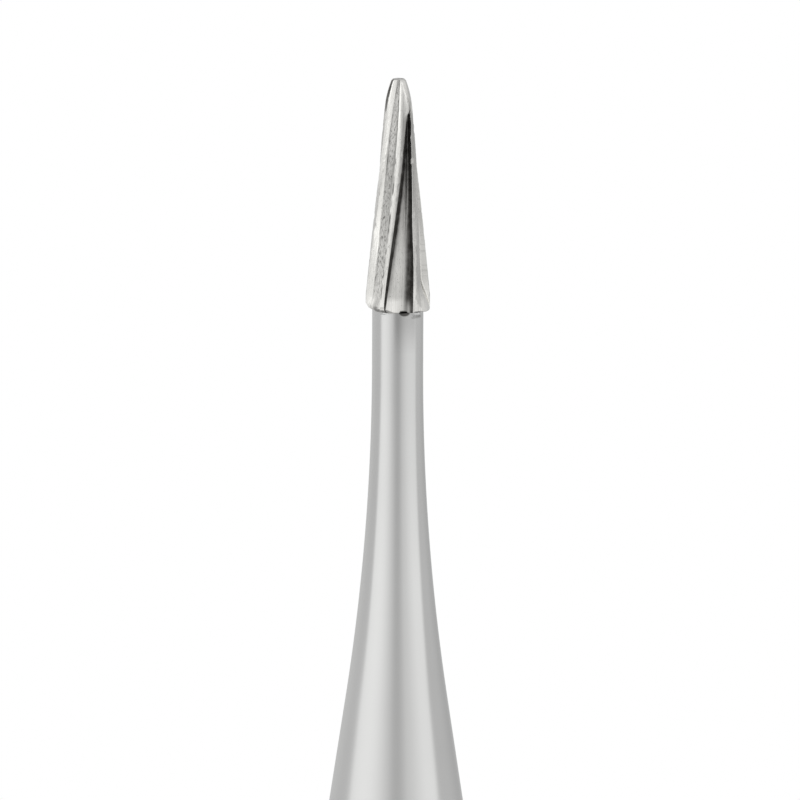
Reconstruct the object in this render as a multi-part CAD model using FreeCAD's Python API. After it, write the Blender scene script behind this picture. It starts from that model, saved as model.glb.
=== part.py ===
import FreeCAD, Part
import math
import os

# A tapered dental bur with six blades. The cutting head is tungsten carbide and is brazed, end
# to end, onto a stainless steel shank whose neck flares down to a plain round bar.
# +Z runs along the axis towards the tip, and the origin is the centre of the shank's end face.
# Lengths are in millimetres and angles in degrees. Angles round the axis start at -Y, the side
# that is seen from the front, and grow towards +X.

# Whole bur
overall_length = 44.5

# Blank of the cutting head, before its flutes are ground. The nose is an arc that leaves the cone
# tangentially and ends inside the cone's line, at a small flat tip.
head_length = 3.62
head_diameter = 1.0
tip_diameter = 0.334
nose_length = 0.3
nose_rounding = 0.055
nose_chamfer = 0.012
collar_height = 0.21
collar_chamfer = 0.08

# Flutes: each lies between the heel of one blade and the cutting edge of the next
flute_count = 6
heel_start = -25.5
heel_twist = 75.0
edge_start = 26.5
edge_twist = 44.0
twist_power = 1.5

# Short flutes: their edges wind up later, and they narrow to a slit where they stop
short_flutes = (0, 3)
short_flute_end = 3.13
short_edge_start = 30.0
short_edge_twist = 42.0
short_edge_power = 2.5
closing_share = 0.75
closing_power = 12.0

# Section of a flute: a heel wall, a sloping floor, a round gullet and a radial rake face. The
# foot of the heel wall is placed by its share of the flute's width and of the flute's depth.
core_base_diameter = 0.75
core_tip_diameter = 0.23
foot_width_share_base = 0.02
foot_width_share_tip = 0.8
foot_depth_share_base = 0.45
foot_depth_share_tip = 1.0
gullet_share = 0.25

# Shank
shank_diameter = 2.35
end_chamfer = 0.25
neck_diameter = 0.79
neck_length = 8.7
neck_straight = 0.92
neck_blend = 2.62

# How the flute cutters are drawn: levels along the axis, how far they run past both ends of the
# head as a share of its length, and how far they stand out of it as a share of its radius
cutter_levels = 9
cutter_overrun = 0.06
cutter_reach = 0.5


def blank_radius(height):
    """Radius of the head's cone at a height above the head's base."""
    base = head_diameter / 2
    tip = tip_diameter / 2
    share = (height - collar_height) / (head_length - collar_height)
    return base + (tip - base) * share


def core_radius(height):
    """Radius of the solid core that the flutes leave, at a height above the head's base."""
    base = core_base_diameter / 2
    tip = core_tip_diameter / 2
    return base + (tip - base) * height / head_length


def wound(start, change, height, power=twist_power):
    """Value at a height of an angle or a share that starts at the head's base and winds up it."""
    share = height / head_length
    return start + change * math.copysign(abs(share) ** power, share)


def edge_angle(height, short):
    """Angle of the cutting edge that ends a flute."""
    if short:
        return wound(short_edge_start, short_edge_twist, height, short_edge_power)
    return wound(edge_start, edge_twist, height)


def heel_angle(height, short):
    """Angle of the heel that a flute starts from. In a short flute it closes on the edge."""
    angle = wound(heel_start, heel_twist, height)
    if short:
        closed = closing_share * (max(height, 0) / short_flute_end) ** closing_power
        angle += (edge_angle(height, short) - angle) * closed
    return angle


def foot_width_share(height):
    """How far across the flute the foot of the heel wall lies. It moves over as blades wind."""
    return wound(foot_width_share_base, foot_width_share_tip - foot_width_share_base, height)


def foot_depth_share(height):
    """How far down the flute the foot of the heel wall lies."""
    change = foot_depth_share_tip - foot_depth_share_base
    return foot_depth_share_base + change * height / head_length


def radial(angle):
    """Unit vector that points out of the axis at an angle from the front."""
    turn = math.radians(angle)
    return FreeCAD.Vector(math.sin(turn), -math.cos(turn), 0)


def line(start, end):
    """Straight edge between two points."""
    return Part.LineSegment(start, end).toShape()


def arc(start, middle, end):
    """Round edge through three points."""
    return Part.Arc(start, middle, end).toShape()


def flute_section(height, short):
    """Closed outline of a flute cutter in the plane at a height above the head's base."""
    outer = blank_radius(height)
    core = core_radius(height)
    start = heel_angle(height, short)
    end = edge_angle(height, short)
    level = FreeCAD.Vector(0, 0, height)

    foot_angle = start + (end - start) * foot_width_share(height)
    foot = level + radial(foot_angle) * (outer - (outer - core) * foot_depth_share(height))
    heel = level + radial(start) * outer
    heel_top = heel + (heel - foot).normalize() * (outer * cutter_reach)

    corner = level + radial(end) * core
    edge_top = level + radial(end) * (outer * (1 + cutter_reach))

    to_foot = (foot - corner).normalize()
    to_edge = radial(end)
    half_angle = to_foot.getAngle(to_edge) / 2
    gullet = (foot - corner).Length * gullet_share
    bisector = (to_foot + to_edge).normalize()
    gullet_start = corner + to_foot * (gullet / math.tan(half_angle))
    gullet_end = corner + to_edge * (gullet / math.tan(half_angle))
    gullet_middle = corner + bisector * (gullet / math.sin(half_angle) - gullet)

    return Part.Wire([
        line(heel_top, foot),
        line(foot, gullet_start),
        arc(gullet_start, gullet_middle, gullet_end),
        line(gullet_end, edge_top),
        line(edge_top, heel_top),
    ])


def flute_cutter(short):
    """Twisted solid that grinds one flute, from below the head's base up to the flute's end."""
    bottom = -cutter_overrun * head_length
    top = short_flute_end if short else (1 + cutter_overrun) * head_length
    step = (top - bottom) / (cutter_levels - 1)
    sections = [flute_section(bottom + step * level, short) for level in range(cutter_levels)]
    return Part.makeLoft(sections, True, False)


def tangent_arc(before, start, end):
    """Arc from start to end that carries on the line from before to start."""
    along = (start - before).normalize()
    outward = FreeCAD.Vector(along.z, 0, -along.x)
    chord = end - start
    radius = -chord.dot(chord) / (2 * chord.dot(outward))
    centre = start - outward * radius
    middle = centre + (start + end - centre * 2).normalize() * radius
    return arc(start, middle, end)


def head_blank():
    """Turned blank of the head: chamfered collar, long cone and rounded nose with a flat tip."""
    base = head_diameter / 2
    nose_start = head_length - nose_length
    nose_end = tip_diameter / 2 - nose_rounding
    points = {
        "axis_base": (0, 0),
        "base_end": (base - collar_chamfer, 0),
        "collar_base": (base, collar_chamfer),
        "collar_top": (base, collar_height),
        "nose_start": (blank_radius(nose_start), nose_start),
        "nose_end": (nose_end, head_length - nose_chamfer),
        "flat_end": (nose_end - nose_chamfer, head_length),
        "axis_tip": (0, head_length),
    }
    at = {name: FreeCAD.Vector(radius, 0, height) for name, (radius, height) in points.items()}
    outline = Part.Wire([
        line(at["axis_base"], at["base_end"]),
        line(at["base_end"], at["collar_base"]),
        line(at["collar_base"], at["collar_top"]),
        line(at["collar_top"], at["nose_start"]),
        tangent_arc(at["collar_top"], at["nose_start"], at["nose_end"]),
        line(at["nose_end"], at["flat_end"]),
        line(at["flat_end"], at["axis_tip"]),
        line(at["axis_tip"], at["axis_base"]),
    ])
    return Part.Face(outline).revolve(FreeCAD.Vector(0, 0, 0), FreeCAD.Vector(0, 0, 1), 360)


def cutting_head():
    """Carbide head with six flutes. Two opposite flutes stop short of the tip."""
    head = head_blank()
    for index in range(flute_count):
        cutter = flute_cutter(index in short_flutes)
        cutter.rotate(FreeCAD.Vector(0, 0, 0), FreeCAD.Vector(0, 0, 1), 360 * index / flute_count)
        head = head.cut(cutter)
    head.translate(FreeCAD.Vector(0, 0, overall_length - head_length))
    return head


def shank():
    """Steel shank: a thin neck that flares through one large arc and a cone to a round bar."""
    bar = shank_diameter / 2
    neck = neck_diameter / 2
    top = overall_length - head_length
    bar_top = top - neck_length
    arc_start = top - neck_straight
    knee = arc_start - neck_blend
    flare = math.atan((bar - neck) / (knee - bar_top))
    arc_radius = neck_blend / math.tan(flare / 2)

    points = {
        "axis_top": (0, top),
        "neck_top": (neck, top),
        "arc_start": (neck, arc_start),
        "arc_middle": (
            neck + arc_radius * (1 - math.cos(flare / 2)),
            arc_start - arc_radius * math.sin(flare / 2),
        ),
        "arc_end": (
            neck + neck_blend * math.sin(flare),
            knee - neck_blend * math.cos(flare),
        ),
        "bar_top": (bar, bar_top),
        "bar_end": (bar, end_chamfer),
        "chamfer_end": (bar - end_chamfer, 0),
        "axis_end": (0, 0),
    }
    at = {name: FreeCAD.Vector(radius, 0, height) for name, (radius, height) in points.items()}
    outline = Part.Wire([
        line(at["axis_top"], at["neck_top"]),
        line(at["neck_top"], at["arc_start"]),
        arc(at["arc_start"], at["arc_middle"], at["arc_end"]),
        line(at["arc_end"], at["bar_top"]),
        line(at["bar_top"], at["bar_end"]),
        line(at["bar_end"], at["chamfer_end"]),
        line(at["chamfer_end"], at["axis_end"]),
        line(at["axis_end"], at["axis_top"]),
    ])
    return Part.Face(outline).revolve(FreeCAD.Vector(0, 0, 0), FreeCAD.Vector(0, 0, 1), 360)


def main():
    """Make each piece, print what it measures and write it to its own file."""
    os.makedirs("parts", exist_ok=True)
    pieces = {"cutting_head": cutting_head(), "shank": shank()}
    for name, piece in pieces.items():
        solid = piece.Solids[0]
        box = solid.optimalBoundingBox(False, False)
        print(f"{name}: {len(piece.Solids)} solid, valid {solid.isValid()}, "
              f"{solid.Volume:.4f} mm3, {len(solid.Faces)} faces, z {box.ZMin:.3f} to {box.ZMax:.3f}")
        solid.exportStep(f"parts/{name}.step")


main()
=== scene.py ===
# %% [markdown]
# A dental bur, 44.5 mm long: a carbide head with six twisted blades on a turned steel shank.
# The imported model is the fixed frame. Its box says where each piece belongs, and everything
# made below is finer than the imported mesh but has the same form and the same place.

# %% The frame
import math

import bmesh
import bpy
from mathutils import Matrix, Vector, noise


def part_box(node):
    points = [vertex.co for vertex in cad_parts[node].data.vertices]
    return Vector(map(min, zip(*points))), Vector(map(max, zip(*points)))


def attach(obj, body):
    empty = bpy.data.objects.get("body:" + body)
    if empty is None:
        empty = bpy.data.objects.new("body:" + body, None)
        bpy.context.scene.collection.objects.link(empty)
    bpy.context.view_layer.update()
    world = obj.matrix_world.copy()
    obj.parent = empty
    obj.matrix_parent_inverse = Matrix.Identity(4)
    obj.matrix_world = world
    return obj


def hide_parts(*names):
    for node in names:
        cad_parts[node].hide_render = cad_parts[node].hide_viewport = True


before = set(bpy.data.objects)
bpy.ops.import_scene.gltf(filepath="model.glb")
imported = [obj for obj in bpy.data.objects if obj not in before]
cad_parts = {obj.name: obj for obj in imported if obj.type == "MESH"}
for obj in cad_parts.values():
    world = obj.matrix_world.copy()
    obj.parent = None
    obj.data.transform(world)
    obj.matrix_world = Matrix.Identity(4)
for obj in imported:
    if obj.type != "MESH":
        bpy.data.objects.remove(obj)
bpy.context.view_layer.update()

MM = 0.001
head_low, head_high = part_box("cutting_head")
shank_low, shank_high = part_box("shank")
print("head from", round(head_low.z / MM, 3), "to", round(head_high.z / MM, 3), "mm")
print("shank from", round(shank_low.z / MM, 3), "to", round(shank_high.z / MM, 3), "mm")

# %% [markdown]
# Both pieces are drawn in millimetres, which suits a tool this small, and are scaled to metres
# when they are done. Heights on the head are measured from its base, where it sits on the neck.
# Angles round the axis start at -Y, the front, and grow towards +X.

# %% Sizes of the head, in millimetres and degrees
HEAD_LENGTH = (head_high.z - head_low.z) / MM
HEAD_RADIUS = 0.496
TIP_RADIUS = 0.167
NOSE_LENGTH = 0.45
NOSE_RADIUS = 0.114
NOSE_CHAMFER = 0.02
TIP_WEAR = 0.015
COLLAR_HEIGHT = 0.21
COLLAR_CHAMFER = 0.08

FLUTES = 6
FLUTE_PITCH = 360 / FLUTES
# Kinds of flute in their order round the head, twice over. The front one is short, and the long
# ones beside it are the right-hand and the left-hand kind.
KINDS = ("short", "right", "left")
SHORT_FLUTE_END = 3.13
HEEL_START = -25.5
HEEL_TWIST = 75.0
EDGE_START = 26.5
EDGE_TWIST = 44.0
TWIST_POWER = 1.5
SHORT_EDGE_START = 28.4
SHORT_EDGE_TWIST = 36.0
SHORT_EDGE_POWER = 1.7
SHORT_EDGE_FLARE = 10.0
FLARE_HEIGHTS = (2.7, 3.2)
SHORT_EDGE_SWELL = 2.4
SWELL_MIDDLE = 0.75
SWELL_HALF_HEIGHT = 0.7
CLOSING = 0.5
CLOSING_POWER = 30
CORE_BASE = 0.375
CORE_TIP = 0.115
FOOT_WIDTH_SHARES = (0.02, 0.8)
FOOT_DEPTH_SHARES = (0.45, 1.0)
LONG_FOOT_SHARES = (0.47, 0.03)
LONG_FOOT_END = 3.0
LONG_FOOT_DEPTH = 1.15
GULLET_SHARE = 0.25
GULLET_LIMIT = 0.6
LAND_WIDTH = 0.08
LAND_DROP = 0.06
LAND_POWER = 1.3

# %% Sizes of the shank, in millimetres
SHANK_RADIUS = shank_high.x / MM
SHANK_TOP = shank_high.z / MM
END_CHAMFER = 0.25
NECK_RADIUS = 0.395
NECK_LENGTH = 8.7
NECK_STRAIGHT = 0.92
NECK_BLEND = 2.62


# %% [markdown]
# A finished piece is one closed mesh whose object sits at the origin. This helper merges what
# lies double, turns all faces outward, marks the corners that stay sharp and hands the piece to
# the frame. Every piece below ends with it.

# %% From a bmesh to a finished piece
MERGE_DISTANCE = 0.00002
SHARP_ANGLE = math.radians(33)


def finish_piece(name, shape, place, node):
    """Close the shape, put it in its place in metres and let it stand for a node."""
    bmesh.ops.remove_doubles(shape, verts=shape.verts, dist=MERGE_DISTANCE)
    bmesh.ops.recalc_face_normals(shape, faces=shape.faces)
    for face in shape.faces:
        face.smooth = True
    for edge in shape.edges:
        edge.smooth = edge.calc_face_angle(0) < SHARP_ANGLE
    bmesh.ops.transform(shape, matrix=place, verts=shape.verts)
    open_edges = sum(not edge.is_manifold for edge in shape.edges)
    mesh = bpy.data.meshes.new(name)
    shape.to_mesh(mesh)
    shape.free()
    piece = bpy.data.objects.new(name, mesh)
    bpy.context.scene.collection.objects.link(piece)
    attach(piece, "root")
    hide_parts(node)
    triangles = sum(len(polygon.vertices) - 2 for polygon in mesh.polygons)
    print(name, "has", triangles, "triangles and", open_edges, "open edges")
    return piece


# %% [markdown]
# The shank is turned from stainless bar: a thin straight neck, one large arc, a long cone and
# then the plain bar that the collet grips. A turned part is a profile spun round its axis, so
# only half of its outline is drawn. The arc itself is a spin too, of a single vertex.

# %% Outline of the shank
ARC_STEPS = 28
CONE_STEPS = 12
TURN_STEPS = 160
END_ROUNDING = 0.03
ROUNDING_SEGMENTS = 3
JOINT_DEPTHS = (0, 0.01, 0.02, 0.03, 0.04, 0.05, 0.065, 0.08, 0.11, 0.15, 0.2, 0.3, 0.45, 0.65)


def draw_to(shape, vert, radius, height):
    """Draw a straight stretch of outline from a vertex to a radius and a height."""
    made = bmesh.ops.extrude_vert_indiv(shape, verts=[vert])
    made["verts"][0].co = (radius, 0, height)
    return made["verts"][0]


def shank_outline(shape):
    """Outline from the end's centre up the bar, the cone, the arc and the neck."""
    bar_top = SHANK_TOP - NECK_LENGTH
    arc_start = SHANK_TOP - NECK_STRAIGHT
    flare = math.atan((SHANK_RADIUS - NECK_RADIUS) / (arc_start - NECK_BLEND - bar_top))
    arc_radius = NECK_BLEND / math.tan(flare / 2)

    vert = bmesh.ops.create_vert(shape, co=(0, 0, SHANK_TOP))["vert"][0]
    for depth in JOINT_DEPTHS:
        vert = draw_to(shape, vert, NECK_RADIUS, SHANK_TOP - depth)
    vert = draw_to(shape, vert, NECK_RADIUS, arc_start)
    turned = bmesh.ops.spin(
        shape, geom=[vert], cent=(NECK_RADIUS + arc_radius, 0, arc_start), axis=(0, 1, 0),
        angle=-flare, steps=ARC_STEPS, use_merge=False,
    )
    vert = [item for item in turned["geom_last"] if isinstance(item, bmesh.types.BMVert)][0]
    knee = vert.co.copy()
    for step in range(1, CONE_STEPS + 1):
        share = step / CONE_STEPS
        radius = knee.x + (SHANK_RADIUS - knee.x) * share
        vert = draw_to(shape, vert, radius, knee.z + (bar_top - knee.z) * share)
    vert = draw_to(shape, vert, SHANK_RADIUS, END_CHAMFER)
    vert = draw_to(shape, vert, SHANK_RADIUS - END_CHAMFER, 0)
    draw_to(shape, vert, 0, 0)
    print("the neck flares by", round(math.degrees(flare), 2), "degrees on an arc of",
          round(arc_radius, 1), "mm")


# %% [markdown]
# The head is brazed on, and the joint shows it: a small bead of braze hangs under the collar at
# the right, and at the front there is a void. Painted shade darkens the void and the neck below
# it, with a painted shadow under the bead and a soft painted shade under the head.

# %% The brazed joint at the neck's top
# Each bead's middle and half width in degrees, its size, and how far it hangs, in millimetres.
BEADS = ((50, 22, 0.045, 0.075), (-34, 18, 0.012, 0.03), (205, 30, 0.02, 0.05))
BEAD_FULL_SHARE = 0.4
BEAD_SWELL = 0.5
SHADOW_ANGLES = (28, 34, 60, 68)
SHADOW_DEPTH = 0.075
SHADOW_HALF_HEIGHT = 0.025
SHADOW_DARKNESS = 0.6
VOID_ANGLES = (1, 5, 21, 26)
VOID_DEPTH = 0.02
# Painted shade: black in the void under the collar and on the neck just below it.
GAP_SHADE_MIDDLE = 16
GAP_SHADE_HALF_ANGLE = 13.5
GAP_SHADE_HANG = 0.052
GAP_SHADE_EDGE = (0.75, 1.15)
GAP_SHADE_DARKNESS = 0.95
# Painted shade, soft and wide, on the neck under the head.
UNDER_HEAD_SHADE_ANGLES = (-12, -2, 38, 50)
UNDER_HEAD_SHADE_DEPTHS = (0.05, 0.8)
UNDER_HEAD_SHADE_DARKNESS = 0.3


def limited(value, high=1):
    """Value, but 0 at the least and high at the most."""
    return min(max(value, 0), high)


def smooth_share(value, low, high):
    """0 below low, 1 above high, and a smooth change between them."""
    share = limited((value - low) / (high - low))
    return share * share * (3 - 2 * share)


def hump(value, middle, half_width):
    """1 in the middle, falling smoothly to 0 at half a width to each side."""
    return 1 - smooth_share(abs(value - middle), 0, half_width)


def plateau(value, stops):
    """0 up to the first stop, 1 between the second and the third, 0 again from the fourth."""
    rise, full, fall, gone = stops
    return smooth_share(value, rise, full) * (1 - smooth_share(value, fall, gone))


def turned_to(angle, middle=0):
    """The same angle, counted from -180 to 180 degrees about a middle."""
    return (angle - middle + 180) % 360 - 180


def unevenness(first, second, pattern):
    """Fixed noise, from about -1 to 1, at two numbers. The third picks one of many patterns."""
    return noise.noise(Vector((first, second, pattern)))


def dress_joint(vert, stain):
    """Add the beads of braze to a vertex of the neck, and paint on it the shade of the gap, the
    bead and the head.
    """
    angle = math.degrees(math.atan2(vert.co.x, -vert.co.y))
    depth = SHANK_TOP - vert.co.z
    for middle, half_width, size, hang in BEADS:
        bead = size * hump(turned_to(angle, middle), 0, half_width)
        swell = 1 + BEAD_SWELL * unevenness(angle * 0.12, depth * 20, 1.7)
        ending = smooth_share(depth, BEAD_FULL_SHARE * hang, hang)
        vert.co.xy *= 1 + bead * swell * (1 - ending) / NECK_RADIUS
    # Painted shade: black in the gap under the collar, shadow under the bead and soft shade under
    # the head.
    from_gap_shade = math.hypot((angle - GAP_SHADE_MIDDLE) / GAP_SHADE_HALF_ANGLE, depth / GAP_SHADE_HANG)
    gap_shade = GAP_SHADE_DARKNESS * (1 - smooth_share(from_gap_shade, *GAP_SHADE_EDGE))
    shadow = plateau(angle, SHADOW_ANGLES) * hump(depth, SHADOW_DEPTH, SHADOW_HALF_HEIGHT)
    under_head_shade = plateau(angle, UNDER_HEAD_SHADE_ANGLES) * (1 - smooth_share(depth, *UNDER_HEAD_SHADE_DEPTHS))
    vert[stain] = max(gap_shade, SHADOW_DARKNESS * shadow, UNDER_HEAD_SHADE_DARKNESS * under_head_shade)


# %% Spinning the shank
def make_shank():
    """Turn the outline round the axis, dress the joint and blunt the gripped end."""
    shape = bmesh.new()
    # This layer holds painted shade for the neck's top.
    stain = shape.verts.layers.float.new("stain")
    shank_outline(shape)
    bmesh.ops.spin(
        shape, geom=list(shape.verts) + list(shape.edges), cent=(0, 0, 0), axis=(0, 0, 1),
        angle=math.tau, steps=TURN_STEPS, use_merge=True,
    )
    bmesh.ops.remove_doubles(shape, verts=shape.verts, dist=MERGE_DISTANCE)
    for vert in shape.verts:
        if vert.co.z > SHANK_TOP - NECK_STRAIGHT and vert.co.xy.length > MERGE_DISTANCE:
            dress_joint(vert, stain)
    end_corners = [
        edge for edge in shape.edges
        if max(vert.co.z for vert in edge.verts) < END_CHAMFER + MERGE_DISTANCE
        and abs(edge.verts[0].co.z - edge.verts[1].co.z) < MERGE_DISTANCE
        and abs(edge.verts[0].co.xy.length - edge.verts[1].co.xy.length) < MERGE_DISTANCE
    ]
    bmesh.ops.bevel(
        shape, geom=end_corners, offset=END_ROUNDING, affect="EDGES",
        segments=ROUNDING_SEGMENTS, profile=0.5, material=-1,
    )
    return finish_piece("turned_shank", shape, Matrix.Scale(MM, 4), "shank")


shank = make_shank()

# %% [markdown]
# The head is ground from a carbide blank, a long cone with a short collar and a rounded tip. Six
# flutes twist up it, and what they leave are the blades. The blank's outline is kept as one list
# of levels, close together, and each level is a radius and a height.


# %% Levels of the blank
HIDDEN_RADIUS = 0.3
VOID_RADIUS = 0.34
BASE_STEPS = 2
CHAMFER_STEPS = 7
COLLAR_STEPS = 11
BLADE_STEPS = 250
NOSE_STEPS = 26
TIP_CHAMFER_STEPS = 2
TIP_STEPS = 6


def cone_radius(height):
    """Radius of the cone at a height above the head's base."""
    share = (height - COLLAR_HEIGHT) / (HEAD_LENGTH - COLLAR_HEIGHT)
    return HEAD_RADIUS + (TIP_RADIUS - HEAD_RADIUS) * share


def between(start, end, steps):
    """Points that lead from start to end in equal steps, without start itself."""
    return [start.lerp(end, step / steps) for step in range(1, steps + 1)]


def blank_levels():
    """Levels from the base's centre, out and up the cone, and over the tip to its centre."""
    slope = math.atan((HEAD_RADIUS - TIP_RADIUS) / (HEAD_LENGTH - COLLAR_HEIGHT))
    outward = Vector((math.cos(slope), math.sin(slope)))
    nose_start = Vector((cone_radius(HEAD_LENGTH - NOSE_LENGTH), HEAD_LENGTH - NOSE_LENGTH))
    tip = HEAD_LENGTH - TIP_WEAR
    nose_end = Vector((NOSE_RADIUS, tip - NOSE_CHAMFER))
    chord = nose_end - nose_start
    nose_arc = -chord.length_squared / (2 * chord.dot(outward))
    middle = nose_start - outward * nose_arc
    last_turn = math.atan2(nose_end.y - middle.y, nose_end.x - middle.x)
    base_radii = (0, HIDDEN_RADIUS, VOID_RADIUS, NECK_RADIUS)
    levels = [Vector((radius, 0)) for radius in base_radii]
    levels += between(levels[-1], Vector((HEAD_RADIUS - COLLAR_CHAMFER, 0)), BASE_STEPS)
    levels += between(levels[-1], Vector((HEAD_RADIUS, COLLAR_CHAMFER)), CHAMFER_STEPS)
    levels += between(levels[-1], Vector((HEAD_RADIUS, COLLAR_HEIGHT)), COLLAR_STEPS)
    levels += between(levels[-1], nose_start, BLADE_STEPS)
    for step in range(1, NOSE_STEPS + 1):
        turn = slope + (last_turn - slope) * step / NOSE_STEPS
        levels.append(middle + nose_arc * Vector((math.cos(turn), math.sin(turn))))
    flat_end = Vector((NOSE_RADIUS - NOSE_CHAMFER, tip))
    levels += between(levels[-1], flat_end, TIP_CHAMFER_STEPS)
    levels += between(levels[-1], Vector((0, tip)), TIP_STEPS)
    return levels


LEVELS = blank_levels()
print("the blank has", len(LEVELS), "levels")

# %% [markdown]
# A flute's section has five stretches: the land left standing before it, the heel wall going
# down, a straight, sloping floor, a round gullet and the rake face going up to the next cutting
# edge. The angles wind up the head with a power of the height, so the blades curve more near the
# tip.


# %% One flute's section
LAND_COLUMNS = 10
HEEL_COLUMNS = 5
FLOOR_COLUMNS = 9
GULLET_COLUMNS = 6
RAKE_COLUMNS = 6
STRETCHES = ("land", "heel", "floor", "gullet", "rake")
STRETCH_COLUMNS = (LAND_COLUMNS, HEEL_COLUMNS, FLOOR_COLUMNS, GULLET_COLUMNS, RAKE_COLUMNS)
FLUTE_COLUMNS = sum(STRETCH_COLUMNS)


def wound(start, change, height, power=TWIST_POWER):
    """An angle or a share that starts at the base and winds up the head."""
    return start + change * (max(height, 0) / HEAD_LENGTH) ** power


def kind_of(flute):
    """Kind of a flute, counted round the head from the short one at the front."""
    return KINDS[flute % len(KINDS)]


def is_short(flute):
    """Whether a flute stops short of the tip."""
    return kind_of(flute) == "short"


def edge_angle(flute, height):
    """Angle of the cutting edge that ends a flute, counted from the flute's own front."""
    if is_short(flute):
        angle = wound(SHORT_EDGE_START, SHORT_EDGE_TWIST, height, SHORT_EDGE_POWER)
        angle += SHORT_EDGE_SWELL * hump(height, SWELL_MIDDLE, SWELL_HALF_HEIGHT)
        return angle + SHORT_EDGE_FLARE * smooth_share(height, *FLARE_HEIGHTS)
    return wound(EDGE_START, EDGE_TWIST, height)


def heel_angle(flute, height):
    """Angle of the heel that a flute starts from. It closes on the edge as a short flute ends."""
    angle = wound(HEEL_START, HEEL_TWIST, height)
    if is_short(flute):
        closed = CLOSING * min(max(height, 0) / SHORT_FLUTE_END, 1) ** CLOSING_POWER
        angle += (edge_angle(flute, height) - angle) * closed
    return angle


def land_drop(flute, height):
    """How much lower the land before a flute lies at its cutting edge than at its heel."""
    return wound(0, LAND_DROP, height) if is_short(flute) else 0


def on_section(angle, radius):
    """Point of a level at an angle from the front, in degrees, and a radius."""
    turn = math.radians(angle)
    return Vector((math.sin(turn), -math.cos(turn))) * radius


def foot_shares(flute, height):
    """Shares of a flute's width and depth at which the foot of its heel wall lies."""
    if is_short(flute):
        width = wound(FOOT_WIDTH_SHARES[0], FOOT_WIDTH_SHARES[1] - FOOT_WIDTH_SHARES[0], height)
        change = FOOT_DEPTH_SHARES[1] - FOOT_DEPTH_SHARES[0]
        return width, FOOT_DEPTH_SHARES[0] + change * height / HEAD_LENGTH
    wide = 1 - min(height / LONG_FOOT_END, 1) ** 2
    share = LONG_FOOT_SHARES[1] + (LONG_FOOT_SHARES[0] - LONG_FOOT_SHARES[1]) * wide
    return share, LONG_FOOT_DEPTH * share


def flute_section(flute, height):
    """Points of one blade and flute at a height, with the stretch that each belongs to."""
    outer = cone_radius(height)
    core = CORE_BASE + (CORE_TIP - CORE_BASE) * height / HEAD_LENGTH
    first = edge_angle(flute - 1, height) - FLUTE_PITCH
    start = heel_angle(flute, height)
    end = edge_angle(flute, height)
    width_share, depth_share = foot_shares(flute, height)

    heel = on_section(start, outer)
    foot = on_section(start + (end - start) * width_share, outer - (outer - core) * depth_share)
    corner = on_section(end, core)
    edge = on_section(end, outer - land_drop(flute + 1, height))

    to_foot = (foot - corner).normalized()
    to_edge = (edge - corner).normalized()
    reach = (foot - corner).length * GULLET_SHARE / math.tan(to_foot.angle(to_edge) / 2)
    reach = min(reach, GULLET_LIMIT * (edge - corner).length)
    gullet_start = corner + to_foot * reach
    gullet_end = corner + to_edge * reach

    points = []
    for column in range(LAND_COLUMNS):
        share = column / LAND_COLUMNS
        radius = outer - land_drop(flute, height) * (1 - share) ** LAND_POWER
        points.append((on_section(first + (start - first) * share, radius), "land"))
    for column in range(HEEL_COLUMNS):
        points.append((heel.lerp(foot, column / HEEL_COLUMNS), "heel"))
    for column in range(FLOOR_COLUMNS):
        points.append((foot.lerp(gullet_start, column / FLOOR_COLUMNS), "floor"))
    for column in range(GULLET_COLUMNS):
        share = column / GULLET_COLUMNS
        falling = gullet_start.lerp(corner, share)
        points.append((falling.lerp(corner.lerp(gullet_end, share), share), "gullet"))
    for column in range(RAKE_COLUMNS):
        points.append((gullet_end.lerp(edge, column / RAKE_COLUMNS), "rake"))
    return points


print("a blade and its flute take", FLUTE_COLUMNS, "columns, the head", FLUTES * FLUTE_COLUMNS)

# %% [markdown]
# Carbide is brittle, so the edges of a used bur are chipped, the ends of the two short flutes are
# ragged, and the rim of the collar is dented. Fixed noise, read at the place on the head, gives
# these the same form at each run. Chips only ever take metal away.


# %% Chips, dents and ragged ends
CHIP_WIDTH = 0.03
CHIP_DEPTH = 0.008
COARSE_LIMIT = 0.12
COARSE_CHIPS = 2.2
FINE_CHIPS = 0.5
AT_EDGE = 0
AT_HEEL = 1
# Bands of the front blades that are chipped more: how much more, their middle and half height.
WORN_BANDS = ((2.0, 2.3, 0.5), (6.0, 3.2, 0.25))
VOID_START = VOID_RADIUS - 0.01
RIM_START = NECK_RADIUS + 0.02
RIM_HEIGHTS = (0.0, 0.16)
RIM_ROUGHNESS = 0.008
# How far the rim is bent up, by angle, and the share of its chamfer that is filled out.
RIM_LIFTS = (
    (-90, 0.02), (-66, 0.05), (-45, 0.048), (-24, 0.055), (-12, 0.018), (0, -0.008),
    (12, -0.006), (24, 0.008), (34, 0.03), (46, 0.028), (60, 0.0), (75, -0.025),
    (95, -0.04), (130, -0.02), (163, 0.03), (200, 0.005), (232, 0.02), (270, 0.02),
)
RIM_WIDTHS = (
    (-110, 0.3), (-92, 0.45), (-70, 0.6), (-52, 0.85), (35, 0.85),
    (60, 0.95), (120, 0.95), (150, 0.6), (180, 0.3),
)
# The share of its depth that a long flute lacks in the collar, and the height where it has all.
RUN_OUTS = {"right": (0.8, 0.5), "left": (0.4, 0.25)}
RUN_OUT_START = 0.05
SHORT_END_HEIGHTS = (SHORT_FLUTE_END - 0.04, SHORT_FLUTE_END + 0.01)
RAGGEDNESS = 0.035


def level_at(pairs, angle):
    """Value at an angle of a closed list of angles and values, straight between them."""
    turned = pairs[0][0] + (angle - pairs[0][0]) % 360
    closed = [*pairs, (pairs[0][0] + 360, pairs[0][1])]
    for (low, first), (high, second) in zip(closed, closed[1:]):
        if turned < high:
            return first + (second - first) * (turned - low) / (high - low)
    return pairs[0][1]


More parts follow.
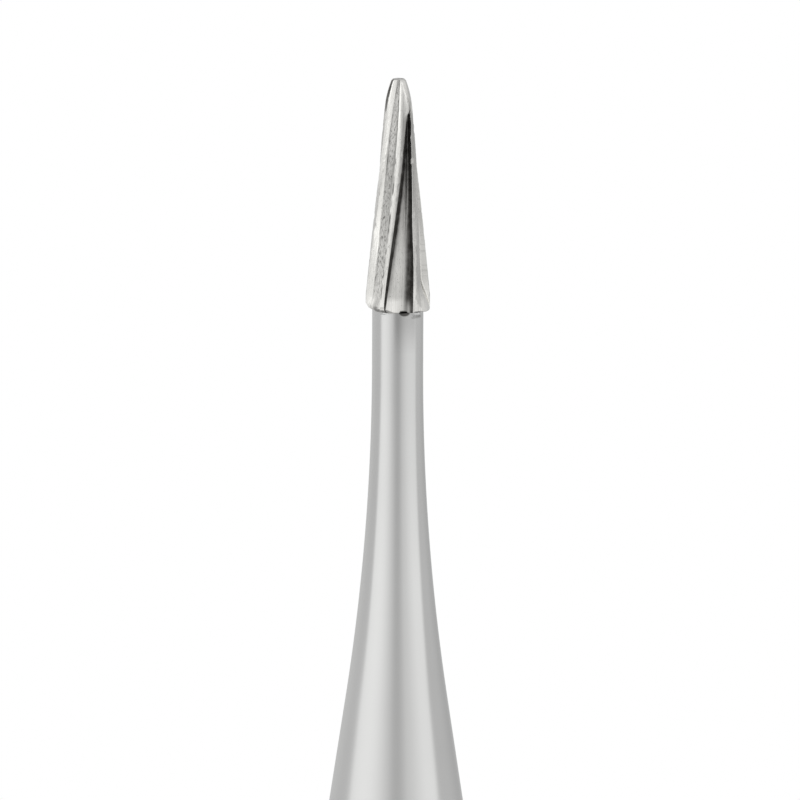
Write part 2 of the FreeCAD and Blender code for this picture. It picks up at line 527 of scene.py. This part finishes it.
def chip_depth(flute, height, side):
    """How far an edge is chipped away at a height. Side tells cutting edges from heels."""
    coarse = unevenness(flute * 7.3 + side * 3.1, height * 9, 0.4)
    fine = unevenness(flute * 5.7 + side, height * 30, 7.9)
    chipped = max(coarse - COARSE_LIMIT, 0) * COARSE_CHIPS + max(fine, 0) * FINE_CHIPS
    worn = sum(more * hump(height, middle, half) for more, middle, half in WORN_BANDS)
    return CHIP_DEPTH * chipped * (1 + worn * (flute % FLUTES == 0))


def void_share(angle):
    """How fully the void in the braze is open at an angle from the front."""
    return plateau(turned_to(angle), VOID_ANGLES)


def rim_lift(profile, angle):
    """How far a point of the base is bent upwards at an angle from the front."""
    turn = math.radians(angle)
    rough = RIM_ROUGHNESS * unevenness(math.sin(turn) * 9, math.cos(turn) * 9, 2.0)
    lift = VOID_DEPTH * void_share(angle) * (profile > VOID_START)
    if profile > RIM_START:
        lift = max(lift, level_at(RIM_LIFTS, angle) + rough)
    return lift


def rim_radius(profile, angle):
    """Radius of the collar's chamfer at an angle, where part of its full width is left."""
    return profile + (HEAD_RADIUS - profile) * level_at(RIM_WIDTHS, angle)


def flute_share(flute, column, height):
    """How much of a flute's depth is cut. Long ones start shallow, and short ones end ragged."""
    if not is_short(flute):
        lacking, full_depth = RUN_OUTS[kind_of(flute)]
        return 1 - lacking * (1 - smooth_share(height, RUN_OUT_START, full_depth))
    ragged = RAGGEDNESS * unevenness(column * 0.45, flute * 3.0, 5.5)
    return 1 - smooth_share(height + ragged, *SHORT_END_HEIGHTS)


lifts = [rim_lift(HEAD_RADIUS, angle) for angle in range(360)]
print("the rim is bent by", round(min(lifts), 3), "to", round(max(lifts), 3), "mm")

# %% [markdown]
# What follows the flutes is painted on the mesh as it is made. The first layer darkens the
# flutes: partly dark residue packed into their narrow ends, partly painted shade where they are
# deep and narrow and their walls hide one another. The next is painted light and shade, which
# makes each ground face brighter or darker by where it lies and faces. The next is the bright line
# along each cutting edge, worn bright and with a painted highlight on it, and the last is how
# thickly a face is flecked with grit. The grain holds the place of each point with the twist
# undone, so that grinding streaks run along the blades.


# %% Where the residue and the painted shade lie
# Heights are above the head's base, and shares run across a stretch. Each pair says where a
# change starts and where it is complete.
DARK_FILL_HEIGHTS = (0.02, 0.28)
SHADED_HEIGHTS = (0.15, 0.4)
SHADED_SHARE = 0.3
DIM_HEIGHTS = (1.2, 2.0)
CLIMB_START = 0.3
CLIMB_LENGTH = 2.05
CLEAN_START = 0.4
CLEAN_LIMIT = 0.32
CLEAN_EDGE = 0.3
LINED_HEIGHTS = (0.16, 0.3, 1.9, 2.4)
LINED_SHARES = (0.05, 0.28)
HEEL_SIDE_SHADE_HEIGHTS = (0.8, 2.6)
HEEL_SIDE_SHADE_SHARES = (0.35, 1.0)
BELOW_END_HEIGHTS = (SHORT_FLUTE_END - 0.15, SHORT_FLUTE_END + 0.05)
THINNING_HEIGHTS = (SHORT_FLUTE_END - 0.08, SHORT_FLUTE_END - 0.03)
RAGGED_COLUMNS = 4

DARK_END_HEIGHTS = (3.02, 3.2)
LEFT_TIP_HEIGHTS = (2.9, 3.2)
LEFT_CORNER_HEIGHTS = (2.0, 2.5)
LEFT_CORNER_SHARE = 0.25
LEFT_START_HEIGHTS = (0.14, 0.3)

GAP_SHADE_HEIGHTS = (0.005, 0.03)
LINE_HEIGHT = 0.01
RIGHT_LINE_ANGLES = (22, 30, 80, 95)
LEFT_LINE_ANGLES = (-62, -48, -4, 2)
PIT_MIDDLE = -50
PIT_HALF_ANGLE = 9
PIT_HEIGHTS = (0.03, 0.06)


def short_flute_residue_and_shade(stretch, share, height):
    """Darkness of a short flute: residue packed towards its closed end, and painted shade in its
    deep, narrow hollow.
    """
    dark_fill = smooth_share(height, *DARK_FILL_HEIGHTS)
    # Painted shade that grows up the floor as the flute gets deeper and narrower.
    climbing = 0.9 * limited((height - CLIMB_START) / CLIMB_LENGTH) ** 2
    below_end = 1 - smooth_share(height, *BELOW_END_HEIGHTS)
    clean = limited(0.25 * (height - CLEAN_START), CLEAN_LIMIT)
    beside_clean = smooth_share(share, clean - CLEAN_EDGE, clean + CLEAN_EDGE)
    shaded = 0.6 * max(1 - share / SHADED_SHARE, 0) * smooth_share(height, *SHADED_HEIGHTS)
    # More painted shade on the floor's far side, low on the head.
    dim = 0.35 * (1 - smooth_share(height, *DIM_HEIGHTS)) * share ** 3
    # A broken line of painted shade along the cutting edge, where the gullet shows past it.
    lined = 0.95 * (1 - smooth_share(share, *LINED_SHARES)) * plateau(height, LINED_HEIGHTS)
    dashed = limited(0.7 + 1.6 * unevenness(3.3, height * 9, 2.2))
    # Painted shade on the land beside the heel.
    heel_side_shade = 0.55 * smooth_share(height, *HEEL_SIDE_SHADE_HEIGHTS) * smooth_share(share, *HEEL_SIDE_SHADE_SHARES)
    amounts = {
        "land": max(heel_side_shade * below_end, lined * dashed),
        # The heel wall, the gullet and the rake are dark with painted shade for how deep they lie.
        "heel": 1.0,
        "floor": climbing + (1 - climbing) * min(shaded + dim, 1),
        "gullet": max(climbing, 0.5 - 0.15 * dark_fill + 0.6 * dark_fill * beside_clean),
        "rake": 0.6 + 0.35 * dark_fill,
    }
    return amounts[stretch]


def long_flute_residue_and_shade(flute, stretch, share, height):
    """Darkness of a long flute, residue with painted shade: broken lines in its corners, or a dark
    end at the tip.
    """
    # Residue and painted shade: a dark end by the tip, or broken lines in the corners.
    if kind_of(flute) == "right":
        return 0.85 * smooth_share(height, *DARK_END_HEIGHTS) * (stretch != "land")
    patchy = 0.5 + 1.2 * unevenness(flute * 3.7, height * 6, 1.3)
    blobs = max(unevenness(flute * 2.9, height * 14, 4.1), 0)
    tip = smooth_share(height, *LEFT_TIP_HEIGHTS)
    corner = 0.6 * smooth_share(height, *LEFT_CORNER_HEIGHTS) + 0.3
    amounts = {
        "floor": max(1 - share / LEFT_CORNER_SHARE, 0) * corner * patchy + 0.1 * share ** 3,
        "gullet": 0.15 + 0.3 * share * patchy + 0.5 * blobs * tip,
        "rake": (0.6 + 0.4 * tip) * (1 - share) * max(patchy, 0) + 0.4 * blobs,
    }
    return limited(amounts.get(stretch, 0)) * smooth_share(height, *LEFT_START_HEIGHTS)


def base_shade(profile, height, angle):
    """Darkness of the base: painted shade in the void, a thin line of painted shadow under the rim
    each side of it, and a pit.
    """
    if profile < VOID_START:
        return 0
    side = turned_to(angle)
    # Painted shade: black in the void, and thin shadow lines under the rim.
    void = GAP_SHADE_DARKNESS * void_share(angle) * (1 - smooth_share(height, *GAP_SHADE_HEIGHTS))
    right = 0.5 * plateau(side, RIGHT_LINE_ANGLES)
    left = 0.45 * plateau(side, LEFT_LINE_ANGLES)
    line = (right + left) * (height < LINE_HEIGHT)
    pit = 0.5 * hump(side, PIT_MIDDLE, PIT_HALF_ANGLE) * (1 - smooth_share(height, *PIT_HEIGHTS))
    return max(void, line, pit)


def residue_and_shade_amount(flute, stretch, share, height):
    """Darkness of a stretch of a flute, residue with painted shade: share runs across the stretch.
    """
    if is_short(flute):
        left = 1 - 0.75 * smooth_share(height, *THINNING_HEIGHTS)
        cut = flute_share(flute, share * RAGGED_COLUMNS, height)
        return short_flute_residue_and_shade(stretch, share, height) * cut * left
    return long_flute_residue_and_shade(flute, stretch, share, height)


# %% Painted light and shade on each ground face
# Painted light and shade of the collar by angle, and the heights between which the blades' painted
# light takes over.
COLLAR_LIGHT_AND_SHADE = (
    (-90, 1.7), (-68, 1.6), (-60, 1.1), (-52, 0.6), (-42, 0.95), (-37, 1.1),
    (-27, 1.1), (-15, 1.35), (0, 1.35), (18, 1.2), (28, 0.9), (34, 1.05),
    (40, 1.0), (46, 1.2), (60, 1.4), (80, 1.4),
)
COLLAR_END_HEIGHTS = (0.16, 0.26)
# Heights between which the painted light changes. A band is the middle of a change and half its
# height.
SHORT_LAND_HEIGHTS = (1.0, 2.3)
SHORT_FADE_HEIGHTS = (2.6, 3.1)
SHORT_TIP_HEIGHTS = (3.15, 3.5)
SHORT_DULL_BAND = (1.3, 0.7)
SHORT_END_BAND = (3.15, 0.2)
RIGHT_FOOT_HEIGHTS = (0.28, 0.5)
RIGHT_LAND_HEIGHTS = (0.7, 1.4)
RIGHT_RAKE_HEIGHTS = (0.9, 1.5)
RIGHT_TIP_HEIGHTS = (3.04, 3.18)
LEFT_FACING_ANGLES = (-47, -36)
LEFT_LAND_HEIGHTS = (1.7, 2.3)
LEFT_HEEL_HEIGHTS = (0.9, 1.7)
LEFT_FLOOR_BAND = (2.4, 1.0)
GRIT_HEIGHTS = (0.1, 0.4)


def short_light_and_shade(stretch, share, height):
    """Painted light and shade on a short flute's hollow, and on the land before it."""
    tip = smooth_share(height, *SHORT_TIP_HEIGHTS)
    if stretch != "land":
        dull = 0.12 * hump(height, *SHORT_DULL_BAND)
        return 1 - dull - 0.4 * hump(height, *SHORT_END_BAND) + 0.2 * tip
    across = max(0.45 - 1.2 * share, -0.25)
    fade = across * smooth_share(height, *SHORT_FADE_HEIGHTS) * (1 - tip)
    return 0.95 + 0.2 * smooth_share(height, *SHORT_LAND_HEIGHTS) + fade + 0.25 * tip


def right_light_and_shade(stretch, share, height):
    """Painted light and shade on a right-hand flute's faces, and on the land before it."""
    land = 0.82 + (share - 0.4) * (0.6 * smooth_share(height, *RIGHT_LAND_HEIGHTS) - 0.15)
    land += 0.5 * smooth_share(height, *RIGHT_TIP_HEIGHTS)
    rake = 1.3 - 0.45 * smooth_share(height, *RIGHT_RAKE_HEIGHTS)
    foot = 1 + 0.22 * (1 - smooth_share(height, *RIGHT_FOOT_HEIGHTS))
    brightness = {"land": land, "heel": 0.89, "floor": 1.0, "gullet": 0.95, "rake": rake}
    return brightness[stretch] * foot


def left_light_and_shade(stretch, side, height):
    """Painted light and shade on a left-hand flute's faces, and on the land before it."""
    # Painted shade on the land beyond a set angle round the head.
    facing = 1 - 0.33 * smooth_share(side, *LEFT_FACING_ANGLES)
    land = (1.15 + 0.45 * smooth_share(height, *LEFT_LAND_HEIGHTS)) * facing
    heel = 1.6 - 0.57 * smooth_share(height, *LEFT_HEEL_HEIGHTS)
    floor = 0.84 + 0.4 * hump(height, *LEFT_FLOOR_BAND)
    return {"land": land, "heel": heel, "floor": floor, "gullet": 0.8, "rake": 0.8}[stretch]


def light_and_shade_amount(flute, stretch, share, height, angle):
    """How much brighter or darker a ground face is painted, as painted light and shade, against
    the plain ground carbide.
    """
    side = (angle + 90) % 180 - 90
    if is_short(flute):
        blade = short_light_and_shade(stretch, share, height)
    elif kind_of(flute) == "right":
        blade = right_light_and_shade(stretch, share, height)
    else:
        blade = left_light_and_shade(stretch, side, height)
    collar = 1 - smooth_share(height, *COLLAR_END_HEIGHTS)
    # The collar takes painted light and shade by its angle round the head.
    return blade + (level_at(COLLAR_LIGHT_AND_SHADE, side) - blade) * collar


def grit_amount(flute, stretch, height):
    """How thickly a face is flecked with dark grit."""
    floor = 1.6 if kind_of(flute) == "left" else 0.3
    thick = {"land": 0.45, "floor": floor}.get(stretch, 0.25)
    return thick * smooth_share(height, *GRIT_HEIGHTS)


# %% Rolling the head out of a grid
EVEN_HEIGHTS = (SHORT_FLUTE_END - 0.12, SHORT_FLUTE_END - 0.03)


def even_angle(flute, column, height):
    """Angle of a flute's column when they are evenly spaced, as they are where a flute stops."""
    start = heel_angle(flute, height)
    share = (column - LAND_COLUMNS) / (FLUTE_COLUMNS - LAND_COLUMNS)
    return start + (edge_angle(flute, height) - start) * share + flute * FLUTE_PITCH


def head_point(flute, column, level, section):
    """Place, stretch and angle of a vertex of the head."""
    profile, height = level
    section_point, stretch = section[column]
    outer = cone_radius(height)
    angle = math.degrees(math.atan2(section_point.x, -section_point.y)) + flute * FLUTE_PITCH
    radius = section_point.length
    if stretch != "land":
        cut = flute_share(flute, column, height)
        radius = radius * cut + outer * (1 - cut)
        if is_short(flute):
            evened = smooth_share(height, *EVEN_HEIGHTS)
            angle += (even_angle(flute, column, height) - angle) * evened
    if stretch == "land":
        edge_gap = column / LAND_COLUMNS * LAND_WIDTH
        heel_gap = (1 - column / LAND_COLUMNS) * LAND_WIDTH
        near_edge = chip_depth(flute - 1, height, AT_EDGE) * max(1 - edge_gap / CHIP_WIDTH, 0)
        near_heel = chip_depth(flute, height, AT_HEEL) * max(1 - heel_gap / CHIP_WIDTH, 0)
        radius -= near_edge + near_heel
    elif stretch == "rake":
        edge_radius = outer - land_drop(flute + 1, height)
        radius = min(radius, edge_radius - chip_depth(flute, height, AT_EDGE))
    elif stretch == "heel":
        radius = min(radius, outer - chip_depth(flute, height, AT_HEEL))
    lift = rim_lift(profile, angle) * (1 - smooth_share(height, *RIM_HEIGHTS))
    if RIM_START < profile and height < COLLAR_CHAMFER:
        profile = rim_radius(profile, angle)
    radius = min(radius, profile)
    turn = math.radians(angle)
    place = Vector((math.sin(turn) * radius, -math.cos(turn) * radius, height + lift))
    return place, stretch, angle


def make_head():
    """Roll a flat grid into the fluted head, level by level."""
    columns = FLUTES * FLUTE_COLUMNS
    rows = len(LEVELS) - 1
    shape = bmesh.new()
    # Layers: residue with painted shade, painted light and shade, and worn edges with a painted
    # highlight.
    residue = shape.verts.layers.float.new("residue")
    tone = shape.verts.layers.float.new("tone")
    wear = shape.verts.layers.float.new("wear")
    grit = shape.verts.layers.float.new("grit")
    grain = shape.verts.layers.float_vector.new("grain")
    bmesh.ops.create_grid(shape, x_segments=columns, y_segments=rows, size=0.5)
    sections = [[flute_section(flute, level.y) for level in LEVELS] for flute in range(FLUTES)]
    starts = [sum(STRETCH_COLUMNS[:index]) for index in range(len(STRETCHES))]
    for vert in shape.verts:
        whole_column = round((vert.co.x + 0.5) * columns) % columns
        row = round((vert.co.y + 0.5) * rows)
        flute, column = divmod(whole_column, FLUTE_COLUMNS)
        level = LEVELS[row]
        place, stretch, angle = head_point(flute, column, level, sections[flute][row])
        index = STRETCHES.index(stretch)
        share = (column - starts[index]) / STRETCH_COLUMNS[index]
        vert.co = place
        # Residue and painted shade of the flutes and of the base.
        dark_fill = residue_and_shade_amount(flute, stretch, share, level.y)
        vert[residue] = max(dark_fill, base_shade(level.x, level.y, angle))
        # Painted light and shade of the face.
        vert[tone] = light_and_shade_amount(flute, stretch, share, level.y, angle)
        # The land's first column, the cutting edge, is worn bright and takes a painted highlight.
        vert[wear] = float(stretch == "land" and column == 0)
        vert[grit] = grit_amount(flute, stretch, level.y)
        untwisted = math.radians(angle - wound(0, EDGE_TWIST, level.y))
        vert[grain] = (math.sin(untwisted), math.cos(untwisted), level.y)
    place = Matrix.Translation((0, 0, head_low.z)) @ Matrix.Scale(MM, 4)
    return finish_piece("fluted_head", shape, place, "cutting_head")


head = make_head()

# %% [markdown]
# Shader maths is easier to read as Python. A Value wraps one socket, and the operators on it add
# Math nodes. A Finish holds a node tree and adds every other kind of node through one method.


# %% Shader maths as Python expressions
class Value:
    """The output socket of a node, which can be added, multiplied and so on."""

    def __init__(self, finish, socket):
        self.finish = finish
        self.socket = socket

    def maths(self, operation, *terms):
        """Math node of these terms."""
        return self.finish.value(
            "ShaderNodeMath", {"operation": operation}, dict(enumerate(terms)))

    def __add__(self, other):
        return self.maths("ADD", self, other)

    def __radd__(self, other):
        return self.maths("ADD", other, self)

    def __sub__(self, other):
        return self.maths("SUBTRACT", self, other)

    def __rsub__(self, other):
        return self.maths("SUBTRACT", other, self)

    def __mul__(self, other):
        return self.maths("MULTIPLY", self, other)

    def __rmul__(self, other):
        return self.maths("MULTIPLY", other, self)

    def __truediv__(self, other):
        return self.maths("DIVIDE", self, other)


class Finish:
    """A node tree, of a material or of the world."""

    def __init__(self, tree):
        tree.nodes.clear()
        self.tree = tree

    def node(self, kind, settings=None, inputs=None):
        """Add a node: its settings are set first, then the values or links of its sockets."""
        made = self.tree.nodes.new(kind)
        for name, setting in (settings or {}).items():
            if name == "stops":
                self.set_stops(made.color_ramp, setting)
            else:
                setattr(made, name, setting)
        for name, given in (inputs or {}).items():
            if isinstance(given, Value):
                self.tree.links.new(given.socket, made.inputs[name])
            else:
                made.inputs[name].default_value = given
        return made

    def value(self, kind, settings=None, inputs=None, output=0):
        """Add a node and take one of its outputs."""
        return Value(self, self.node(kind, settings, inputs).outputs[output])

    def set_stops(self, ramp, stops):
        """Give a ramp these stops, each a place and a grey level."""
        while len(ramp.elements) < len(stops):
            ramp.elements.new(0.5)
        for element, (place, grey) in zip(ramp.elements, stops):
            element.position = place
            element.color = (grey, grey, grey, 1)

    def share(self, value, low, high):
        """0 below low, 1 above high, smooth between."""
        return self.value("ShaderNodeMapRange", {"interpolation_type": "SMOOTHSTEP"},
                          {"Value": value, "From Min": low, "From Max": high})

    def colour(self, factor, first, second):
        """Mix of two colours."""
        return self.value("ShaderNodeMix", {"data_type": "RGBA"},
                          {"Factor": factor, 6: first, 7: second}, 2)

    def painted(self, name, output="Fac"):
        """What was painted on the mesh under a name as it was made."""
        return self.value("ShaderNodeAttribute", {"attribute_name": name}, None, output)

    def stretched(self, place, scales):
        """Place scaled along its three axes, which makes a pattern on it that much finer."""
        return self.value("ShaderNodeMapping", None, {"Vector": place, "Scale": scales})

    def mottled(self, place, scale, detail):
        """Cloudy noise from 0 to 1."""
        return self.value("ShaderNodeTexNoise", None,
                          {"Vector": place, "Scale": scale, "Detail": detail})

    def relief(self, height, strength, distance):
        """Bump that follows a height."""
        return self.value("ShaderNodeBump", None,
                          {"Strength": strength, "Distance": distance, "Height": height})


def new_material(name):
    """Material and the finish that fills its node tree."""
    material = bpy.data.materials.new(name)
    material.use_nodes = True
    return material, Finish(material.node_tree)


# %% [markdown]
# The shank is fine turned stainless steel with a satin sheen. The lathe leaves rings round the
# axis far too fine to count, so they are a bump that varies quickly along the axis and hardly
# round it, and they vary the gloss a little too. Faint broader clouds vary the colour.


# %% Satin turned steel
STEEL = (0.462, 0.463, 0.458, 1)
STEEL_DULL = (0.43, 0.43, 0.425, 1)
# Colour of the painted shade on the neck.
NECK_SHADE_COLOUR = (0.045, 0.043, 0.04, 1)
RING_SCALES = (300, 300, 60000)
RING_DEPTH = 0.000002
CLOUD_SCALE = 700.0


def satin_steel():
    """Stainless steel as the lathe and a fine abrasive leave it."""
    material, finish = new_material("satin_turned_steel")
    place = finish.value("ShaderNodeTexCoord", output="Object")
    rings = finish.mottled(finish.stretched(place, RING_SCALES), 1.0, 3.0)
    clouds = finish.mottled(place, CLOUD_SCALE, 2.0)
    clean = finish.colour(clouds, STEEL, STEEL_DULL)
    # Painted shade darkens the steel where it was painted on the neck.
    shader = finish.value("ShaderNodeBsdfPrincipled", None, {
        "Base Color": finish.colour(finish.painted("stain"), clean, NECK_SHADE_COLOUR),
        "Metallic": 1.0,
        "Roughness": 0.17 + 0.04 * rings,
        "Normal": finish.relief(rings, 0.15, RING_DEPTH),
    })
    finish.node("ShaderNodeOutputMaterial", None, {"Surface": shader})
    return material


shank.data.materials.append(satin_steel())
print("the shank is", shank.data.materials[0].name)

# %% [markdown]
# The head is ground tungsten carbide, a little greyer and warmer than the steel. Its ground faces
# are streaked along the flutes. Residue and painted shade turn it dark and dull, painted light and
# shade make each face brighter or darker, and the worn cutting edges are polished bright with a
# painted highlight. Flecks of grit follow the blades, and small specks lie all over.


# %% Ground carbide
CARBIDE = (0.485, 0.48, 0.462, 1)
CARBIDE_STREAK = (0.38, 0.376, 0.362, 1)
# Dark colour of residue and painted shade, and of grit and specks.
RESIDUE_AND_SHADE = (0.04, 0.038, 0.035, 1)
# Bright colour of the worn edges, which also paints a highlight on them.
WORN_EDGE_AND_HIGHLIGHT = (0.7, 0.7, 0.68, 1)
STREAK_SCALES = (22, 22, 1.6)
STREAK_DEPTH = 0.000004
FLECK_SCALES = (52, 52, 16)
PATCH_SCALE = 9000.0
SPECK_SCALE = 45000.0


def ground_carbide():
    """Tungsten carbide with grinding streaks, dark residue with painted shade, painted light, and
    bright worn edges with a painted highlight.
    """
    material, finish = new_material("ground_carbide")
    place = finish.value("ShaderNodeTexCoord", output="Object")
    grain = finish.painted("grain", "Vector")
    streaks = finish.mottled(finish.stretched(grain, STREAK_SCALES), 1.0, 4.0)
    flecks = finish.mottled(finish.stretched(grain, FLECK_SCALES), 1.0, 4.0)
    patches = finish.mottled(place, PATCH_SCALE, 3.0)
    specks = finish.mottled(place, SPECK_SCALE, 2.0)

    streaked = finish.share(streaks, 0.42, 0.75)
    # Residue and painted shade darken the carbide here.
    dark_fill = finish.painted("residue") * (0.7 + 0.6 * patches)
    dark = finish.value("ShaderNodeClamp", None, {"Value": dark_fill})
    ground = finish.colour(streaked, CARBIDE, CARBIDE_STREAK)
    # Painted light and shade scale the colour of each ground face.
    metal = finish.value("ShaderNodeVectorMath", {"operation": "SCALE"},
                         {0: ground, "Scale": finish.painted("tone")})
    gritty = 0.6 * finish.painted("grit") * finish.share(flecks, 0.52, 0.64)
    flecked = finish.colour(gritty, metal, RESIDUE_AND_SHADE)
    speckled = finish.colour(0.6 * finish.share(specks, 0.66, 0.74), flecked, RESIDUE_AND_SHADE)
    # Worn edges, painted brighter as a highlight.
    worn = finish.colour(0.6 * finish.painted("wear"), speckled, WORN_EDGE_AND_HIGHLIGHT)
    shader = finish.value("ShaderNodeBsdfPrincipled", None, {
        "Base Color": finish.colour(dark, worn, RESIDUE_AND_SHADE),
        "Metallic": 1.0,
        "Roughness": 0.2 + 0.3 * dark + 0.1 * streaked,
        "Normal": finish.relief(streaks + 0.4 * patches, 0.5, STREAK_DEPTH),
    })
    finish.node("ShaderNodeOutputMaterial", None, {"Surface": shader})
    return material


head.data.materials.append(ground_carbide())
print("the head is", head.data.materials[0].name)

# %% [markdown]
# Metal shows its surroundings, so the studio matters more than the lamps. It is a white room with
# two tall soft boxes, one each side of the camera, and a dimmer gap between them. The boxes end
# in straight edges beside the object, and those edges are the two sharp lines down the neck.


# %% The white studio
# Half the brightness of the boxes and of the gap between them, by azimuth / STOPS_SPAN + 0.5:
# first what lies low in front of the object, then what lies level with it and above.
STOPS_SPAN = 200
LOW_STOPS = (
    (0.05, 0.8), (0.125, 0.81), (0.2, 0.82), (0.295, 0.735), (0.35, 0.63), (0.43, 0.46),
    (0.51, 0.395), (0.56, 0.45), (0.6, 0.555), (0.69, 0.67), (0.8, 0.69), (0.9, 0.68),
)
LEVEL_STOPS = (
    (0.06, 0.81), (0.125, 0.84), (0.2, 0.86), (0.26, 0.84), (0.3, 0.8), (0.35, 0.72),
    (0.43, 0.56), (0.47, 0.455), (0.52, 0.43), (0.56, 0.5), (0.6, 0.6), (0.65, 0.64),
    (0.7, 0.71), (0.77, 0.79), (0.9, 0.81),
)
SIDE_LEVEL = 0.98
BEHIND_LOSS = 0.3
# Elevations and azimuths, in degrees, between which the light changes. A box's edge leans by
# so much of the elevation.
LEVEL_ELEVATIONS = (-12, -5)
SOFT_ELEVATIONS = (-3, 4)
LEFT_EDGE = (-94, -87)
LEFT_EDGE_SOFTENED = (30, 6)
LEFT_EDGE_LEAN = 0.9
RIGHT_EDGE = (77, 83)
RIGHT_EDGE_LEAN = 0.8
BEHIND_AZIMUTHS = (115, 170)
BEHIND_TURN = 12


def light_studio():
    """World that is plain white to the camera and a soft-lit studio to the object."""
    world = bpy.data.worlds.new("studio")
    bpy.context.scene.world = world
    world.use_nodes = True
    finish = Finish(world.node_tree)
    direction = finish.value("ShaderNodeTexCoord", output="Generated")
    parts = finish.node("ShaderNodeSeparateXYZ", None, {"Vector": direction})
    across, away, up = [Value(finish, output) for output in parts.outputs]
    azimuth = across.maths("ARCTAN2", across, 0 - away) * math.degrees(1)
    elevation = across.maths("ARCSINE", up) * math.degrees(1)

    place = azimuth / STOPS_SPAN + 0.5
    low = finish.value("ShaderNodeValToRGB", {"stops": LOW_STOPS}, {"Fac": place})
    level = finish.value("ShaderNodeValToRGB", {"stops": LEVEL_STOPS}, {"Fac": place})
    front = low + finish.share(elevation, *LEVEL_ELEVATIONS) * (level - low)
    soft = finish.share(elevation, *SOFT_ELEVATIONS)
    left_start = LEFT_EDGE[0] - LEFT_EDGE_SOFTENED[0] * soft
    left_end = LEFT_EDGE[1] + LEFT_EDGE_SOFTENED[1] * soft
    left_edge = finish.share(azimuth + LEFT_EDGE_LEAN * elevation, left_start, left_end)
    right_edge = finish.share(azimuth + RIGHT_EDGE_LEAN * elevation, *RIGHT_EDGE)
    boxes = left_edge * (1 - right_edge)
    behind = finish.share(across.maths("ABSOLUTE", azimuth + BEHIND_TURN), *BEHIND_AZIMUTHS)
    sides = SIDE_LEVEL - BEHIND_LOSS * behind
    studio = sides + boxes * (2 * front - sides)

    rays = finish.node("ShaderNodeLightPath").outputs
    seen = Value(finish, rays["Is Camera Ray"]) + Value(finish, rays["Is Transmission Ray"])
    mirrored = Value(finish, rays["Is Glossy Ray"])
    strength = seen + mirrored * studio + (1 - seen - mirrored) * sides
    background = finish.value("ShaderNodeBackground", None,
                              {"Color": (1, 1, 1, 1), "Strength": strength})
    finish.node("ShaderNodeOutputWorld", None, {"Surface": background})
    print("the world has", len(world.node_tree.nodes), "nodes")


light_studio()
bpy.context.scene.view_settings.view_transform = "Standard"

# %% [markdown]
# A small pale disc is the floor. It fades out towards its rim, so no edge shows in a wide view.

# %% The floor
FLOOR_RADIUS = 50.0
FLOOR_CLEAR = 12.0
FLOOR_SEGMENTS = 96
FLOOR_PALE = (0.9, 0.9, 0.9, 1)


def make_floor():
    """Round pale floor under the shank's end."""
    shape = bmesh.new()
    bmesh.ops.create_circle(
        shape, cap_ends=True, cap_tris=False, segments=FLOOR_SEGMENTS, radius=FLOOR_RADIUS * MM,
    )
    mesh = bpy.data.meshes.new("floor")
    shape.to_mesh(mesh)
    shape.free()
    floor = bpy.data.objects.new("floor", mesh)
    bpy.context.scene.collection.objects.link(floor)
    material, finish = new_material("pale_floor")
    place = finish.value("ShaderNodeTexCoord", output="Object")
    radius = finish.value("ShaderNodeVectorMath", {"operation": "LENGTH"}, {0: place}, "Value")
    fade = finish.share(radius / MM, FLOOR_CLEAR, FLOOR_RADIUS)
    pale = finish.value("ShaderNodeBsdfDiffuse", None, {"Color": FLOOR_PALE})
    clear = finish.value("ShaderNodeBsdfTransparent")
    mixed = finish.value("ShaderNodeMixShader", None, {0: fade, 1: pale, 2: clear})
    finish.node("ShaderNodeOutputMaterial", None, {"Surface": mixed})
    mesh.materials.append(material)
    print("the floor's radius is", FLOOR_RADIUS, "mm")


make_floor()

# %% [markdown]
# The camera looks down at the head by twelve degrees, through a long lens from close by, so the
# tapers show true. The picture's centre lies a little under the head's base.

# %% The camera
LENS = 1000.0
SENSOR = 36.0
FRAME_WIDTH = 12.346
CAMERA_ELEVATION = math.radians(12)
AIM = Vector((0.0389, 0, -1.4436))
ROLL = 0.0035
CLIP_FACTOR = 10


def make_camera():
    """Long lens at the photograph's angle."""
    data = bpy.data.cameras.new("camera")
    data.lens = LENS
    data.sensor_width = SENSOR
    camera = bpy.data.objects.new("camera", data)
    bpy.context.scene.collection.objects.link(camera)
    bpy.context.scene.camera = camera
    back = Vector((0, -math.cos(CAMERA_ELEVATION), math.sin(CAMERA_ELEVATION)))
    distance = FRAME_WIDTH * LENS / SENSOR
    aim = AIM * MM + Vector((0, 0, head_low.z))
    turned = (-back).to_track_quat("-Z", "Y").to_matrix().to_4x4() @ Matrix.Rotation(ROLL, 4, "Z")
    camera.matrix_world = Matrix.Translation(aim + back * distance * MM) @ turned
    data.clip_start = distance * MM / CLIP_FACTOR
    data.clip_end = distance * MM * CLIP_FACTOR
    print("the camera is", round(distance), "mm away")


make_camera()
